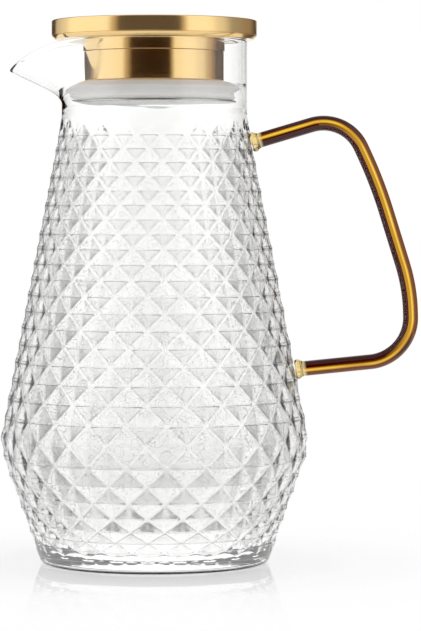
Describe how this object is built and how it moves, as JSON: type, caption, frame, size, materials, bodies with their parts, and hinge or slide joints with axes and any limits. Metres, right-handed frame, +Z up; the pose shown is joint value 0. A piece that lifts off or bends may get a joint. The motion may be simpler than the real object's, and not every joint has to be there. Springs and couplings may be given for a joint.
{
  "type": "glass pitcher with lid",
  "caption": "Glass pitcher with a diamond relief, a pulled spout, a bent amber glass handle and a round metal lid with a soft seal that lifts off.",
  "frame": {"origin": "centre of the foot, on the plane that the pitcher stands on", "axes": "+Z up along the axis of the neck, +X towards the handle, -X towards the spout"},
  "size_m": [0.1892, 0.1392, 0.2455],
  "materials": {
    "clear_glass": "polished",
    "amber_glass": "polished",
    "weld_glass": "polished",
    "gold_steel": "satin gold coat",
    "plain_steel": "satin",
    "white_plastic": "matte",
    "silicone": "matte"
  },
  "bodies": {
    "jug": {"glass_body": "clear_glass", "handle": "amber_glass", "handle_upper_weld": "weld_glass", "handle_lower_weld": "weld_glass"},
    "seal": {"seal_ring": "silicone"},
    "lid": {"lid_top_shell": "gold_steel", "lid_under_plate": "gold_steel", "lid_collar": "gold_steel", "lid_drum": "gold_steel", "lid_plug": "white_plastic", "lid_boss": "plain_steel", "lid_screw": "plain_steel", "base_plate": "plain_steel"}
  },
  "joints": [
    {"name": "lid_lift", "type": "slide", "parent": "jug", "child": "seal", "axis": [0, 0, 1], "range_m": [0, 0.06]},
    {"name": "lid_turn", "type": "hinge", "parent": "seal", "child": "lid", "pos_m": [0, 0, 0.2365], "axis": [0, 0, 1], "continuous": true}
  ]
}
